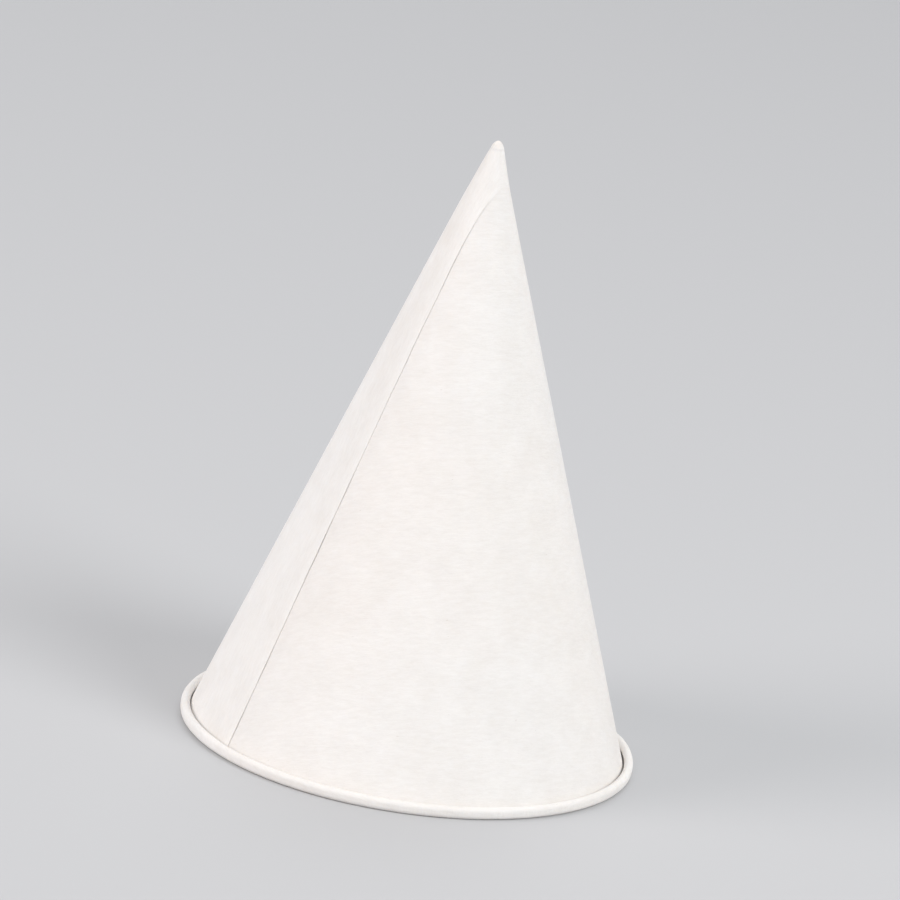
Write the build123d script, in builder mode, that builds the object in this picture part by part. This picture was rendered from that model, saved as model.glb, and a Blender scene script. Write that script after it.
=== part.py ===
from build123d import *
import math
import os

# Cone paper cup: one sheet of paper wound into a cone, glued, and rolled outward at the mouth.
# Millimetres. It stands mouth down on its rolled rim: +Z towards the tip, z = 0 under the roll.
# Angles go round +Z. The sheet's inner edge lies at angle 0, in the +X direction.

os.makedirs("parts", exist_ok=True)

paper = 0.13            # thickness of the sheet
mouth_radius = 34.5     # inside radius where the wall runs into the roll
half_angle = 19.0       # slope of the wall away from the cone's axis

roll_radius = 0.75      # roll: the turns of its foot and its outer side
roll_side = 0.45        # roll: the upright stretch of its outer side
roll_top = 0.73         # roll: the turn back over the top
roll_back = 0.71        # roll: the turn down towards the wall
roll_tuck = 0.5         # roll: the cut edge, tucked inside the first turn
tuck_angle = 60         # how far the tucked edge goes on round
land = 0.2              # width of the flat the roll stands on

blank_angle = 180       # the flat sheet is a half disc
seam_offset = 3.0       # the straight outer edge of the sheet passes this far beside the axis
climb = 6               # turn over which the outer wrap climbs over the inner edge

nose_below = 3.0        # the wound tip is closed solid from this far below the inside point
nose_blend = 3.0        # height over which the closed tip runs out into the wall
nose_radius = 1.0       # rounding of the blunt tip

sin_a = math.sin(math.radians(half_angle))
cos_a = math.cos(math.radians(half_angle))
tan_a = sin_a / cos_a

foot_height = roll_radius * (1 - sin_a)             # where wall and roll meet
inner_point = foot_height + mouth_radius / tan_a    # the cone's inside point, were it open
nose_height = inner_point - nose_below
winding = blank_angle / sin_a                       # turn of the whole sheet round the axis
second_wrap = winding - 360                         # the overlap, measured at the mouth
seam_heading = second_wrap - math.degrees(math.asin(seam_offset / mouth_radius))


def meridian(angle):
    """Plane through the axis at an angle round it: x is the radius, y the height."""
    turn = math.radians(angle)
    along = (math.cos(turn), math.sin(turn), 0)
    across = (math.sin(turn), -math.cos(turn), 0)
    return Plane(origin=(0, 0, 0), x_dir=along, z_dir=across)


def radius_at(height, depth):
    """Radius of the wall at a height, at a depth counted outward from its inside face."""
    return (inner_point + depth / sin_a - height) * tan_a


def sheet_side(depth):
    """The wall and the roll as one line, at a depth from the sheet's inside face."""
    wall_foot = (mouth_radius + depth * cos_a, foot_height + depth * sin_a)
    wall = Line((radius_at(nose_height, depth), nose_height), wall_foot)
    foot = JernArc(wall @ 1, wall % 1, roll_radius - depth, 90 - half_angle)
    flat = Line(foot @ 1, foot @ 1 + Vector(land, 0))
    corner = JernArc(flat @ 1, (1, 0), roll_radius - depth, 90)
    side = Line(corner @ 1, corner @ 1 + Vector(0, roll_side))
    top = JernArc(side @ 1, (0, 1), roll_top - depth, 90)
    back = JernArc(top @ 1, (-1, 0), roll_back - depth, 90)
    tuck = JernArc(back @ 1, (0, -1), roll_tuck - depth, tuck_angle)
    return wall @ 0, tuck @ 1


def sheet_section(angle, depth):
    """Section of one thickness of paper, its inside face at the given depth."""
    with BuildSketch(meridian(angle)) as section:
        with BuildLine():
            near_start, near_end = sheet_side(depth)
            far_start, far_end = sheet_side(depth + paper)
            Line(near_start, far_start)
            Line(near_end, far_end)
        make_face()
    return section.sketch


with BuildPart() as cone_cup:
    # second wrap: the overlap, trimmed along the straight outer edge of the sheet
    revolve(sheet_section(0, paper), axis=Axis.Z, revolution_arc=seam_heading + 90)
    with Locations(Location((0, 0, 0), (0, 0, seam_heading))):
        with Locations((0, seam_offset, -1)):
            Box(60, 60, 120, align=(Align.MIN, Align.MIN, Align.MIN), mode=Mode.SUBTRACT)

    # first wrap: from the inner edge nearly all the way round
    revolve(sheet_section(0, 0), axis=Axis.Z, revolution_arc=360 - climb)

    # the short climb that joins them, over the inner edge
    loft([sheet_section(-climb, 0), sheet_section(0, paper)], ruled=True)

    # the tip, wound tight and closed
    with BuildSketch(Plane.XZ):
        with BuildLine():
            blend_foot = nose_height - nose_blend
            cap_centre = inner_point + 2 * paper / sin_a - nose_radius / sin_a
            cap_edge = (nose_radius * cos_a, cap_centre + nose_radius * sin_a)
            cap_middle = (
                nose_radius * math.cos(math.radians(54)),
                cap_centre + nose_radius * math.sin(math.radians(54)),
            )
            cap_top = (0, cap_centre + nose_radius)
            Polyline(
                cap_top,
                (0, nose_height),
                (radius_at(nose_height, paper / 2), nose_height),
                (radius_at(blend_foot, paper * 0.9), blend_foot),
                (radius_at(blend_foot, paper), blend_foot),
                (radius_at(nose_height, 2 * paper), nose_height),
                cap_edge,
            )
            ThreePointArc(cap_edge, cap_middle, cap_top)
        make_face()
    revolve(axis=Axis.Z)

cone_cup.part.label = "cone_cup"
export_step(cone_cup.part, "parts/cone_cup.step")
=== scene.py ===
import math

import bpy
import numpy as np
from mathutils import Matrix, Vector


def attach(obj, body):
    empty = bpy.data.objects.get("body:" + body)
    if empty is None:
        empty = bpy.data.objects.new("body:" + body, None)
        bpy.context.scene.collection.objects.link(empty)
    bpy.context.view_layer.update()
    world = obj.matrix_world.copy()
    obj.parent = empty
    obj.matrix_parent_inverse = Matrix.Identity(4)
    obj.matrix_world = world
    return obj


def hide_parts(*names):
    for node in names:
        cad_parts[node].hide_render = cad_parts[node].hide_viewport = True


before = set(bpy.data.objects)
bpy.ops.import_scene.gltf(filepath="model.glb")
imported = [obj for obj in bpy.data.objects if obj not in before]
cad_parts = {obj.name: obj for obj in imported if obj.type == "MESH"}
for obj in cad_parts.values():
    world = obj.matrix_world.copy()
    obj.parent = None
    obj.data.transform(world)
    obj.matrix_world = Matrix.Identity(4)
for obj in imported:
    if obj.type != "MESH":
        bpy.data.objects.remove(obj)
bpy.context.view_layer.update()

# The cup is one wound sheet of paper. Its shape is worked out in millimetres, with the CAD
# model's main sizes, and goes to metres when the mesh is made. The tip is up, the roll on z = 0.
# Angles round the cup are in degrees, and the sheet's inner edge lies at 0, in the +X direction.

PAPER = 0.13            # thickness of the sheet
MOUTH_RADIUS = 34.5     # inside radius where the wall runs into the roll
HALF_ANGLE = math.radians(19.0)
ROLL_FOOT, ROLL_TOP, ROLL_BACK, ROLL_TUCK = 0.75, 0.73, 0.71, 0.5    # radii of the roll's turns
TUCK_TURN = math.radians(60)    # how far the tucked edge goes on round
LAND = 0.2              # flat under the roll
ROLL_SIDE = 0.45        # upright stretch of the roll's outer side
SEAM_OFFSET = 3.0       # the sheet's outer edge passes this far beside the axis
CLIMB = 6.0             # degrees over which the outer wrap climbs over the inner edge
GAP = 0.006             # between one wrap and the next
TIP_OPEN = 2.4          # the sheet stops this far short of the cone's point, measured along it
NOSE_RADIUS = 1.07      # and a blunt tip closes it
NOSE_DRAWN = 0.35       # how much longer than a ball the tip is drawn

WALL_ROWS = 76          # rows of the mesh from the tip down to the roll
ROW_SPREAD = 1.12       # over 1, so that they lie closer together near the tip
ARC_STEP = math.radians(11)                 # mesh step round the turns of the roll
WRAP_COLUMNS, CLIMB_COLUMNS = 214, 9        # columns along the first wrap, and along the climb
OVERLAP_COLUMNS, EDGE_COLUMNS = 118, 13     # along the overlap, and closer along its last part
EDGE_SHARE = 0.94       # where that last part begins
TIP_COLUMNS, TIP_RINGS = 64, 12             # the dome that closes the tip

MAP_REACH = 0.47        # texture map: radius of each half disc
MAP_APART = 0.0225      # texture map: how far each half disc stands off the middle
MAP_CUT = 1.004         # texture map: the tucked cut edge lies this much further out
MAP_TIP = (0.08, 0.92)  # texture map: middle of the tip
MAP_TIP_SCALE = 0.02    # texture map: size of a millimetre of the tip
MAP_FOOT_SHIFT = 0.84   # texture map: the tip's foot lies this far beside the tip
NO_EDGE = 60.0          # the distance given to points with no outer edge near them
PATTERN_DEPTH = 40.0    # how deep in the material's solid pattern the outside face lies

SIN, COS, TAN = math.sin(HALF_ANGLE), math.cos(HALF_ANGLE), math.tan(HALF_ANGLE)
INNER_POINT = ROLL_FOOT * (1 - SIN) + MOUTH_RADIUS / TAN     # height of the inside face's point
SLANT = MOUTH_RADIUS / SIN                      # from that point along the inside face to the roll
FOOT_RADIUS = MOUTH_RADIUS + ROLL_FOOT * COS    # where the roll stands
SECOND_WRAP = 180 / SIN - 360                   # the overlap at the mouth; the sheet is a half disc
SEAM_HEADING = SECOND_WRAP - math.degrees(math.asin(SEAM_OFFSET / MOUTH_RADIUS))     # of the outer edge


def smooth(x):
    """0 up to 0, 1 from 1 on, and an even rise between."""
    x = np.clip(x, 0, 1)
    return x * x * (3 - 2 * x)


def cosine(degrees):
    return np.cos(np.radians(degrees))


def waves(angle, orders, size, seed):
    """A smooth closed curve round the cup: a few waves with fixed random phases."""
    draw = np.random.default_rng(seed)
    total = np.zeros_like(angle)
    for k in orders:
        total += draw.uniform(0.4, 1) * np.cos(np.radians(angle) * k + draw.uniform(0, 2 * math.pi))
    return size * total / math.sqrt(len(orders))


def wander(run, count, size, seed):
    """A smooth random value along the sheet's section."""
    knots = np.random.default_rng(seed).normal(0, size, count)
    at = (run - run[0]) / (run[-1] - run[0]) * (count - 1)
    i = np.clip(at.astype(int), 0, count - 2)
    return knots[i] + (knots[i + 1] - knots[i]) * smooth(at - i)


# ---------------------------------------------------------------- the sheet's section

def section_line():
    """Points, inward normals and running length of the inside face, from tip to tucked edge."""
    s = TIP_OPEN + (SLANT - TIP_OPEN) * np.linspace(0, 1, WALL_ROWS) ** ROW_SPREAD
    points = [np.stack([s * SIN, INNER_POINT - s * COS], 1)]
    normals = [np.tile([COS, SIN], (len(s), 1))]
    centre = np.array([FOOT_RADIUS, ROLL_FOOT])
    turns = [                                       # radius, begin, end, straight run before it
        (ROLL_FOOT, -math.pi + HALF_ANGLE, -math.pi / 2, (0, 0)),
        (ROLL_FOOT, -math.pi / 2, 0.0, (LAND, 0)),
        (ROLL_TOP, 0.0, math.pi / 2, (0, ROLL_SIDE)),
        (ROLL_BACK, math.pi / 2, math.pi, (0, 0)),
        (ROLL_TUCK, math.pi, math.pi + TUCK_TURN, (0, 0)),
    ]
    last = ROLL_FOOT
    for radius, begin, end, straight in turns:
        centre = centre + straight + (last - radius) * np.array([math.cos(begin), math.sin(begin)])
        last = radius
        count = max(2, int(round((end - begin) / ARC_STEP)))
        a = np.linspace(begin, end, count + 1)[(0 if any(straight) else 1):]
        out = np.stack([np.cos(a), np.sin(a)], 1)
        points.append(centre + radius * out)
        normals.append(-out)
    points, normals = np.concatenate(points), np.concatenate(normals)
    run = TIP_OPEN + np.concatenate([[0], np.cumsum(np.hypot(*np.diff(points, axis=0).T))])
    return points, normals, run


# ---------------------------------------------------------------- the unevenness of real paper

def make_creases(count, seed):
    """Faint straight creases from forming: angle, start and end along the wall, width, depth."""
    draw = np.random.default_rng(seed)
    return [
        (draw.uniform(0, 360), draw.uniform(1, 4), draw.uniform(18, 50),
         draw.uniform(0.7, 1.3), draw.uniform(-0.08, 0.08))
        for _ in range(count)
    ]


CREASES = make_creases(count=9, seed=41)


def unevenness(angle, along):
    """How far the wall stands off a true cone: out of round, soft flats, faint creases."""
    share = np.clip(along / SLANT, 0, 1)
    out_of_round = 0.16 * cosine(2 * (angle - 63)) + waves(angle, (3, 4, 5), 0.05, 7)
    flats = 0.05 * np.sin(math.pi * share) * waves(angle + 14 * share, (4, 6, 7, 9), 1.0, 11)
    off = share ** 1.4 * out_of_round + flats
    for at, near, far, width, depth in CREASES:
        across = np.radians((angle - at + 180) % 360 - 180) * along * SIN
        fade = smooth((along - near) / 5) * smooth((far - along) / 14)
        off = off + depth * fade * np.exp(-((across / width) ** 2))
    return off


def lean(height):
    """The soft tip, its last 16 mm, is bent a little to one side."""
    over = np.clip((height - (INNER_POINT - 16)) / 16, 0, None) ** 2
    return 0.35 * over, -0.2 * over


def place(points, normals, run, depth, wound):
    """The sheet in space: rows follow its section, columns go round the cup."""
    angle = wound % 360
    run = run[:, None]
    r = points[:, :1] + normals[:, :1] * depth
    z = points[:, 1:] + normals[:, 1:] * depth
    # the roll is plumper here and there, and where it holds two thicknesses
    in_roll = smooth((run - SLANT + 2) / 2)
    plump = waves(angle, (2, 3, 5, 8), 0.02, 23) + waves(angle, (17, 23, 31, 40), 0.008, 29)
    plump = plump + 0.03 * smooth(angle / 4) * smooth((SECOND_WRAP - angle) / 4)
    r = r + in_roll * (r - FOOT_RADIUS) * plump
    z = z * (1 + in_roll * plump)
    # the wall moves square to itself, but the roll only sideways, so that it stands flat
    off = unevenness(angle, np.minimum(run, SLANT))
    r = r + off * COS
    z = z + off * SIN * (1 - smooth((run - SLANT + 12) / 12))
    dx, dy = lean(z)
    turn = np.radians(angle)
    return np.stack([r * np.cos(turn) + dx, r * np.sin(turn) + dy, z], 2)


# ---------------------------------------------------------------- the mesh

def wound_sheet():
    """Both faces of the sheet on one grid, and where each point lies on the flat sheet."""
    points, normals, run = section_line()
    radius = points[:, 0]
    # how far the sheet reaches past its first wrap, up to its nearly straight outer edge
    reach = SEAM_HEADING + np.degrees(np.arcsin(np.clip(SEAM_OFFSET / radius, 0, 1)))
    reach = reach + np.degrees(wander(run, 40, 0.03, 5) / np.maximum(radius, 4)) * (run < SLANT)

    first = np.linspace(0, 360 - CLIMB, WRAP_COLUMNS)
    climb = np.linspace(360 - CLIMB, 360, CLIMB_COLUMNS)[1:]
    part = np.linspace(0, EDGE_SHARE, OVERLAP_COLUMNS)[1:]
    part = np.concatenate([part, np.linspace(EDGE_SHARE, 1, EDGE_COLUMNS)[1:]])
    under = np.tile(np.concatenate([first, climb]), (len(run), 1))
    wound = np.concatenate([under, 360 + reach[:, None] * part], 1)
    from_edge = np.radians(360 + reach[:, None] - wound) * radius[:, None]

    # the outer edge stands off by a few hundredths of a millimetre, unevenly
    lift = 0.025 + np.clip(wander(run, 22, 0.025, 9), -0.02, 0.06)
    lift = lift * smooth((run - 4) / 6) * (1 - smooth((run - SLANT + 3) / 3))
    lift = lift[:, None] * np.exp(-((from_edge / 1.1) ** 2))
    on_top = smooth((wound - (360 - CLIMB)) / CLIMB)
    depth = on_top * (PAPER + GAP) + lift
    # the one wrap left bare swells towards the tip, until it is level with the two beside it
    bare = smooth((wound - SEAM_HEADING - 87) / 3) * (1 - on_top) * smooth((10 - run[:, None]) / 7.5)
    thick = PAPER + bare * (PAPER + GAP)
    inside = place(points, normals, run, depth, wound)
    outside = place(points, normals, run, depth + thick, wound)
    return inside, outside, wound, from_edge, run, bare


def sheet_faces(rows, columns):
    """Quads for the inside, the outside, and the cut edges all round."""
    count = rows * columns
    r, c = np.meshgrid(np.arange(rows - 1), np.arange(columns - 1), indexing="ij")
    a = (r * columns + c).ravel()
    b, d, e = a + 1, a + columns, a + columns + 1
    k = np.arange(rows - 1) * columns
    m = k + columns - 1
    u = np.arange(columns - 1)
    t = (rows - 1) * columns + u
    return np.concatenate([
        np.stack([a, b, e, d], 1),                                          # inside
        np.stack([a, d, e, b], 1) + count,                                  # outside
        np.stack([k, k + columns, k + columns + count, k + count], 1),      # inner edge
        np.stack([m, m + count, m + columns + count, m + columns], 1),      # outer edge
        np.stack([t, t + 1, t + 1 + count, t + count], 1),                  # tucked edge
        np.stack([u, u + count, u + 1 + count, u + 1], 1),                  # edge at the tip
    ])


def wound_tip():
    """The closed blunt tip: a small dome over the top of the wound sheet."""
    foot = INNER_POINT - TIP_OPEN * COS - 0.08      # a little way down inside the paper
    edge = SEAM_HEADING + 90
    wound = edge + np.linspace(0, 360, TIP_COLUMNS, endpoint=False)

    def cone(height, layers):
        """Radius and height on the cone, this many thicknesses of paper from the inside face."""
        return (INNER_POINT + layers * PAPER / SIN - height) * TAN, height

    rings = [cone(foot, 0.5), cone(foot, 1.9), cone(foot + 0.16, 2.08)]
    base = INNER_POINT + (2.1 * PAPER - NOSE_RADIUS) / SIN
    pleats = waves(wound, (3, 5, 8), 0.045, 37)
    for a in np.linspace(HALF_ANGLE, math.radians(85), TIP_RINGS):
        bent = smooth((a - HALF_ANGLE) / 0.6)
        slope = 0.12 * bent * math.cos(a) * cosine(wound - 140)
        oval = 1 + bent * (0.04 * cosine(2 * (wound - 20)) + pleats)
        drawn = NOSE_DRAWN * ((math.sin(a) - SIN) / (1 - SIN)) ** 2
        rings.append((NOSE_RADIUS * oval * math.cos(a), base + NOSE_RADIUS * math.sin(a) + drawn + slope))

    verts = [np.array([[0, 0, foot]])]
    turn = np.radians(wound)
    for r, z in rings:
        z = z + np.zeros(TIP_COLUMNS)
        along = (INNER_POINT + 2 * PAPER * SIN - z) / COS
        r = r + unevenness(wound, along) * COS
        verts.append(np.stack([r * np.cos(turn), r * np.sin(turn), z], 1))
    verts.append(np.array([[0, 0, base + NOSE_RADIUS + NOSE_DRAWN]]))
    points = np.concatenate(verts)
    # painted shade, rising towards the top of the dome, where the lamps make it brightest
    tip_painted_shade = smooth((points[:, 2] - base - NOSE_RADIUS * SIN + 0.1) / 0.6)
    run = (INNER_POINT + 2 * PAPER * SIN - points[:, 2]) / COS
    dx, dy = lean(points[:, 2])
    points = points + np.stack([dx, dy, 0 * dx], 1)

    around = [(i, (i + 1) % TIP_COLUMNS) for i in range(TIP_COLUMNS)]
    faces = [(0, 1 + n, 1 + i) for i, n in around]
    for j in range(len(rings) - 1):
        a, b = 1 + j * TIP_COLUMNS, 1 + (j + 1) * TIP_COLUMNS
        faces += [(a + i, a + n, b + n, b + i) for i, n in around]
    faces += [(b + i, b + n, len(points) - 1) for i, n in around]
    return points, faces, np.concatenate([[edge], np.tile(wound, len(rings)), [edge]]), run, tip_painted_shade


def on_flat_sheet(run, wound):
    """A point's place on the flat sheet, a half disc, from its place on the cup."""
    turn = np.radians(wound) * SIN
    return np.stack([run * np.cos(turn), run * np.sin(turn)], -1).reshape(-1, 2)


def store(mesh, name, values):
    """Keeps a value or a vector for each point of the mesh, for the material to read."""
    values = np.asarray(values, np.float32)
    kind, field = ("FLOAT_VECTOR", "vector") if values.ndim == 2 else ("FLOAT", "value")
    layer = mesh.attributes.new(name, kind, "POINT")
    layer.data.foreach_set(field, values.ravel())


def map_for_textures(mesh, flat, tip, shape, longest):
    """Lays the inside face out as the lower half disc, and the outside face as the upper one."""
    rows, columns = shape
    u = 0.5 + MAP_REACH * flat[:, 0] / longest
    v = MAP_REACH * flat[:, 1] / longest
    by_point = np.column_stack([
        np.concatenate([u, u, MAP_TIP[0] + MAP_TIP_SCALE * tip[:, 0]]),
        np.concatenate([0.5 - MAP_APART - v, 0.5 + MAP_APART + v, MAP_TIP[1] + MAP_TIP_SCALE * tip[:, 1]]),
    ])
    corner = np.zeros(len(mesh.loops), np.int32)
    mesh.loops.foreach_get("vertex_index", corner)
    spot = by_point[corner]
    # the quads of the tucked edge come after those of both faces, the inner and the outer edge;
    # on the map they lie along the outside of the upper half disc
    begin = 4 * 2 * (rows - 1) * columns
    cut = np.arange(begin, begin + 4 * (columns - 1))
    cut = cut[corner[cut] < rows * columns]
    spot[cut, 0] = 0.5 + MAP_CUT * (spot[cut, 0] - 0.5)
    spot[cut, 1] = 0.5 + MAP_APART + MAP_CUT * (0.5 - MAP_APART - spot[cut, 1])
    # the foot of the tip, a ring of triangles and one of quads, lies apart from the rest of it
    begin += 4 * 2 * (columns - 1)
    spot[begin:begin + (3 + 4) * TIP_COLUMNS, 0] += MAP_FOOT_SHIFT
    layer = mesh.uv_layers.new(name="OFBake", do_init=False)
    layer.data.foreach_set("uv", spot.astype(np.float32).ravel())


def make_cup():
    inside, outside, wound, from_edge, run, bare = wound_sheet()
    rows, columns = wound.shape
    count = rows * columns
    tip, tip_faces, tip_wound, tip_run, tip_painted_shade = wound_tip()
    points = np.concatenate([inside.reshape(-1, 3), outside.reshape(-1, 3), tip])
    faces = sheet_faces(rows, columns).tolist()
    faces += [tuple(i + 2 * count for i in face) for face in tip_faces]
    mesh = bpy.data.meshes.new("cone_cup_paper")
    mesh.from_pydata((points * 0.001).tolist(), [], faces)
    mesh.update()

    flat = on_flat_sheet(run[:, None], wound)
    tip_flat = on_flat_sheet(tip_run, tip_wound)
    # the pattern goes through the paper, so that its cut edges look like the rest
    deep = np.concatenate([np.full(count, PATTERN_DEPTH - PAPER), np.full(count + len(tip), PATTERN_DEPTH)])
    store(mesh, "sheet_mm", np.column_stack([np.concatenate([flat, flat, tip_flat]), deep]))

    # along the rim and along the section, for the roll's own small wrinkles
    rim = np.stack([np.radians(wound) * FOOT_RADIUS, np.tile(run[:, None], (1, columns))], 2).reshape(-1, 2)
    rim = np.concatenate([rim, rim, np.zeros((len(tip), 2))])
    store(mesh, "rim_mm", np.column_stack([rim, deep]))
    rolled = np.tile(smooth((run - SLANT + 1.5) / 2)[:, None], (1, columns)).ravel()
    store(mesh, "rolled", np.concatenate([rolled, rolled, np.zeros(len(tip))]))

    # where the paper is two thick, and so a touch whiter
    over = smooth((wound - (360 - CLIMB)) / 3)
    beneath = (1 - smooth((wound - SECOND_WRAP + 2) / 2)) * (wound < 359)
    doubled = np.clip(over + beneath + bare, 0, 1).ravel()
    store(mesh, "doubled", np.concatenate([doubled, doubled, np.ones(len(tip))]))
    # painted shade: the top of the tip is darkened, to tone down how bright the lamps make it
    store(mesh, "tip_painted_shade", np.concatenate([np.zeros(2 * count), tip_painted_shade]))

    near = np.where(wound >= 360, np.minimum(from_edge, NO_EDGE), NO_EDGE).ravel()
    tip_near = np.radians(SEAM_HEADING + 450 - tip_wound) * np.hypot(tip[:, 0], tip[:, 1])
    tip_near = np.where(tip_wound >= 360, tip_near, NO_EDGE)
    store(mesh, "from_edge_mm", np.concatenate([np.full(count, NO_EDGE), near, tip_near]))

    map_for_textures(mesh, flat, tip, (rows, columns), run[-1])
    mesh.polygons.foreach_set("use_smooth", np.ones(len(mesh.polygons), bool))
    mesh.set_sharp_from_angle(angle=math.radians(48))
    cup = bpy.data.objects.new("paper_cone_cup", mesh)
    bpy.context.scene.collection.objects.link(cup)
    return cup


# ---------------------------------------------------------------- materials

class Nodes:
    """Short names for building one material's nodes."""

    def __init__(self, name):
        self.material = bpy.data.materials.new(name)
        self.material.use_nodes = True
        self.tree = self.material.node_tree
        self.shader = self.tree.nodes["Principled BSDF"]

    def set(self, socket, value):
        if isinstance(value, bpy.types.NodeSocket):
            self.tree.links.new(value, socket)
        else:
            socket.default_value = value

    def attribute(self, name, output="Fac"):
        made = self.tree.nodes.new("ShaderNodeAttribute")
        made.attribute_name = name
        return made.outputs[output]

    def stretched(self, vector, scale):
        made = self.tree.nodes.new("ShaderNodeMapping")
        made.inputs["Scale"].default_value = scale
        self.set(made.inputs["Vector"], vector)
        return made.outputs["Vector"]

    def noise(self, vector, scale, detail, rough=0.55, distort=0.0):
        made = self.tree.nodes.new("ShaderNodeTexNoise")
        self.set(made.inputs["Vector"], vector)
        made.inputs["Scale"].default_value = scale
        made.inputs["Detail"].default_value = detail
        made.inputs["Roughness"].default_value = rough
        made.inputs["Distortion"].default_value = distort
        return made.outputs["Fac"]

    def ranged(self, value, low, high, to_low, to_high):
        made = self.tree.nodes.new("ShaderNodeMapRange")
        for i, v in enumerate((value, low, high, to_low, to_high)):
            self.set(made.inputs[i], v)
        return made.outputs["Result"]

    def maths(self, kind, first, second=0.0):
        made = self.tree.nodes.new("ShaderNodeMath")
        made.operation = kind
        self.set(made.inputs[0], first)
        self.set(made.inputs[1], second)
        return made.outputs["Value"]

    def total(self, *parts):
        result = parts[0]
        for part in parts[1:]:
            result = self.maths("ADD", result, part)
        return result

    def scaled(self, value, size):
        return self.maths("MULTIPLY", value, size)


def paper_material():
    """White cup paper. Its pattern is in millimetres on the flat sheet, with the grain along x."""
    n = Nodes("white_cup_paper")
    sheet = n.attribute("sheet_mm", "Vector")
    broad = n.noise(sheet, 0.022, 2)                      # slow drift of tint over the sheet
    cloud = n.noise(sheet, 0.17, 4)                       # formation, some millimetres across
    flock = n.noise(n.stretched(sheet, (0.45, 1.9, 1.0)), 0.95, 5, 0.62)    # clumps of fibre
    fibre = n.noise(n.stretched(sheet, (0.8, 5.2, 1.0)), 1.5, 5, 0.75, 0.6)
    speck_field = n.noise(n.stretched(sheet, (0.7, 1.5, 1.0)), 1.25, 1.5, 0.5)
    specks = n.ranged(speck_field, 0.775, 0.80, 0.0, 1.0)

    # the glue shows through as a faint, wavy band behind the outer edge
    wavy = n.total(n.attribute("from_edge_mm"), n.scaled(cloud, 2.4), -4.6)
    glue = n.ranged(n.maths("ABSOLUTE", wavy), 1.3, 2.9, 1.0, 0.0)

    tone = n.total(
        0.5,
        n.ranged(cloud, 0.3, 0.7, -0.018, 0.018),
        n.ranged(flock, 0.3, 0.7, -0.022, 0.022),
        n.ranged(fibre, 0.3, 0.7, -0.022, 0.022),
        n.scaled(n.attribute("doubled"), 0.018),
        # painted shade that darkens the top of the tip
        n.scaled(n.attribute("tip_painted_shade"), -0.06),
        n.scaled(glue, -0.02),
        n.scaled(specks, -0.10),
    )
    ramp = n.tree.nodes.new("ShaderNodeValToRGB")
    n.set(ramp.inputs["Fac"], tone)
    dark, light = ramp.color_ramp.elements
    dark.position, dark.color = 0.40, (0.735, 0.70, 0.66, 1)
    light.position, light.color = 0.58, (0.925, 0.91, 0.892, 1)

    tint = n.tree.nodes.new("ShaderNodeMix")
    tint.data_type, tint.blend_type = "RGBA", "MULTIPLY"
    factor, first_colour, second_colour, mixed = 0, 6, 7, 2      # the node's colour sockets
    n.set(tint.inputs[factor], n.ranged(broad, 0.35, 0.65, 0.0, 1.0))
    n.set(tint.inputs[first_colour], ramp.outputs["Color"])
    n.set(tint.inputs[second_colour], (1.0, 0.984, 0.972, 1))
    n.set(n.shader.inputs["Base Color"], tint.outputs[mixed])

    rough = n.total(n.ranged(flock, 0.3, 0.7, 0.50, 0.66), n.scaled(glue, -0.04))
    n.set(n.shader.inputs["Roughness"], rough)
    n.shader.inputs["IOR"].default_value = 1.47
    n.shader.inputs["Subsurface Weight"].default_value = 0.15
    n.shader.inputs["Subsurface Radius"].default_value = (1.0, 0.82, 0.66)
    n.shader.inputs["Subsurface Scale"].default_value = 0.0004

    # relief in millimetres; the wrinkles are only on the roll, and run over it crosswise
    wrinkle = n.noise(n.stretched(n.attribute("rim_mm", "Vector"), (1.5, 0.28, 1.0)), 1.0, 3, 0.6)
    height = n.total(
        n.scaled(cloud, 0.10),
        n.scaled(flock, 0.038),
        n.scaled(fibre, 0.014),
        n.scaled(n.maths("MULTIPLY", wrinkle, n.attribute("rolled")), 0.09),
        n.scaled(specks, 0.004),
    )
    bump = n.tree.nodes.new("ShaderNodeBump")
    bump.inputs["Strength"].default_value = 1.0
    bump.inputs["Distance"].default_value = 0.001
    n.set(bump.inputs["Height"], height)
    n.set(n.shader.inputs["Normal"], bump.outputs["Normal"])
    return n.material


def floor_material():
    n = Nodes("pale_floor")
    n.shader.inputs["Base Color"].default_value = (0.525, 0.53, 0.54, 1)
    n.shader.inputs["Roughness"].default_value = 0.8
    return n.material


cup = make_cup()
cup.data.materials.append(paper_material())
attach(cup, "root")
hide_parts("cone_cup")


# ---------------------------------------------------------------- floor, light, camera, in metres

VIEW_TURN, VIEW_RISE = -24, 17.5    # degrees round the cup, and above its rim
VIEW_ROLL = 8.6                     # degrees that the frame is tilted, as the cup leans in it
VIEW_DISTANCE = 2.5
VIEW_HEIGHT = 0.0485                # what the camera looks at, above the floor
LENS_PER_METRE = 255                # focal length in millimetres for each metre of distance
LIGHT_HEIGHT = 0.05                 # what the lamps are turned to, above the floor


def make_floor(flat_radius, radius, rise, rings=12, sides=96):
    """A wide round floor, flat in the middle, that rises gently far away and so hides its end."""
    verts = [(0, 0, 0)]
    reach = np.linspace(flat_radius, radius, rings)
    for r in reach:
        z = rise * ((r - flat_radius) / (radius - flat_radius)) ** 2
        for turn in np.linspace(0, 2 * math.pi, sides, endpoint=False):
            verts.append((r * math.cos(turn), r * math.sin(turn), z))
    faces = [(0, 1 + i, 1 + (i + 1) % sides) for i in range(sides)]
    for ring in range(rings - 1):
        for i in range(sides):
            a, b = 1 + ring * sides, 1 + (ring + 1) * sides
            n = (i + 1) % sides
            faces.append((a + i, b + i, b + n, a + n))
    mesh = bpy.data.meshes.new("floor")
    mesh.from_pydata(verts, [], faces)
    mesh.polygons.foreach_set("use_smooth", np.ones(len(faces), bool))
    floor = bpy.data.objects.new("floor", mesh)
    floor.data.materials.append(floor_material())
    bpy.context.scene.collection.objects.link(floor)


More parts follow.
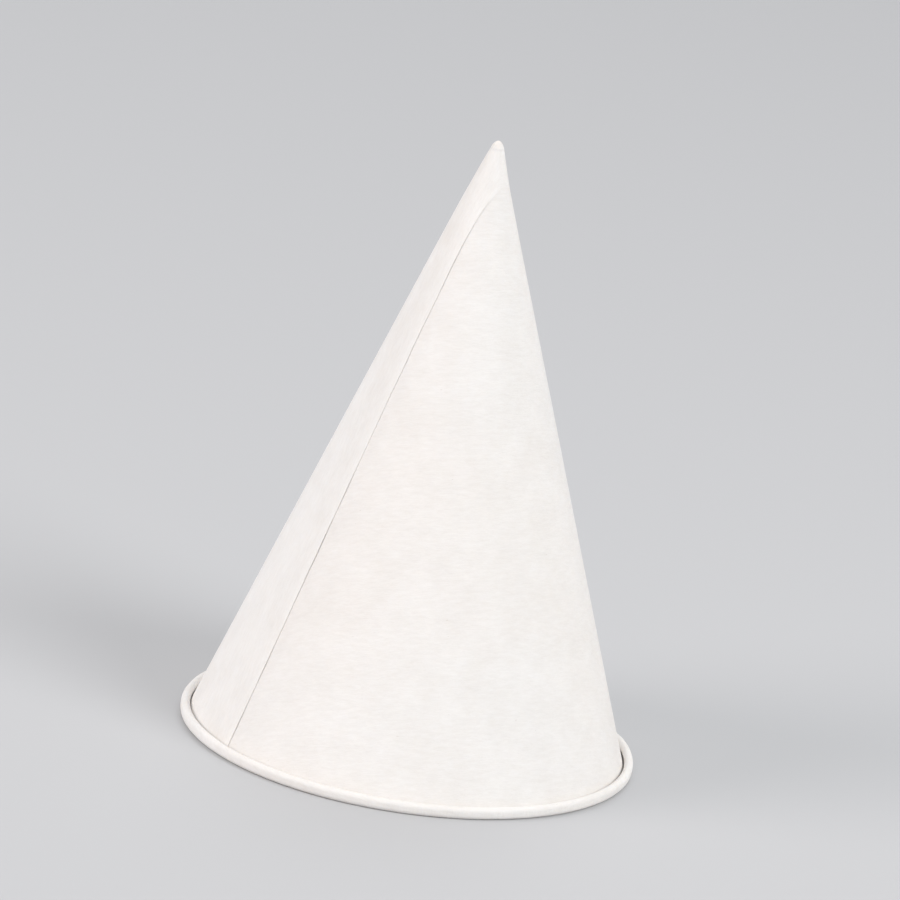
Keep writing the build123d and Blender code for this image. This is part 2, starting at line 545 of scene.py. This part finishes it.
def toward(turn, rise):
    """The direction from the cup to a camera or a lamp."""
    turn, rise = math.radians(turn), math.radians(rise)
    return Vector((math.sin(turn) * math.cos(rise), -math.cos(turn) * math.cos(rise), math.sin(rise)))


def soft_light(name, turn, rise, distance, size, power, colour):
    """A round soft lamp, placed by its turn from the camera and its rise above the floor."""
    data = bpy.data.lights.new(name, "AREA")
    data.shape = "DISK"
    data.size = size
    data.spread = math.radians(80)
    data.energy = power
    data.color = colour
    lamp = bpy.data.objects.new(name, data)
    away = toward(VIEW_TURN + turn, rise)
    lamp.location = Vector((0, 0, LIGHT_HEIGHT)) + away * distance
    lamp.rotation_mode = "QUATERNION"
    lamp.rotation_quaternion = away.to_track_quat("Z", "Y")
    lamp.visible_camera = False
    bpy.context.scene.collection.objects.link(lamp)


def make_camera():
    lens = bpy.data.cameras.new("camera")
    lens.lens = LENS_PER_METRE * VIEW_DISTANCE
    lens.sensor_width = 36
    lens.clip_start, lens.clip_end = 0.01, 50
    camera = bpy.data.objects.new("camera", lens)
    away = toward(VIEW_TURN, VIEW_RISE)
    camera.location = Vector((0, 0, VIEW_HEIGHT)) + away * VIEW_DISTANCE
    camera.rotation_mode = "QUATERNION"
    straight = (-away).to_track_quat("-Z", "Y")
    tilt = Matrix.Rotation(math.radians(VIEW_ROLL), 3, "Z").to_quaternion()
    camera.rotation_quaternion = straight @ tilt
    bpy.context.scene.collection.objects.link(camera)
    bpy.context.scene.camera = camera


make_floor(flat_radius=2.0, radius=6.0, rise=0.6)
soft_light("key", turn=56, rise=36, distance=1.3, size=0.8, power=1.95, colour=(1.0, 0.995, 0.99))
soft_light("fill", turn=-66, rise=24, distance=1.5, size=1.0, power=2.5, colour=(1.0, 0.94, 0.92))
soft_light("back", turn=175, rise=50, distance=1.4, size=0.9, power=0.7, colour=(0.95, 0.97, 1.0))
make_camera()

world = bpy.data.worlds.new("studio")
world.use_nodes = True
world.node_tree.nodes["Background"].inputs["Color"].default_value = (0.93, 0.935, 0.95, 1)
world.node_tree.nodes["Background"].inputs["Strength"].default_value = 0.7
bpy.context.scene.world = world
bpy.context.scene.view_settings.view_transform = "Standard"
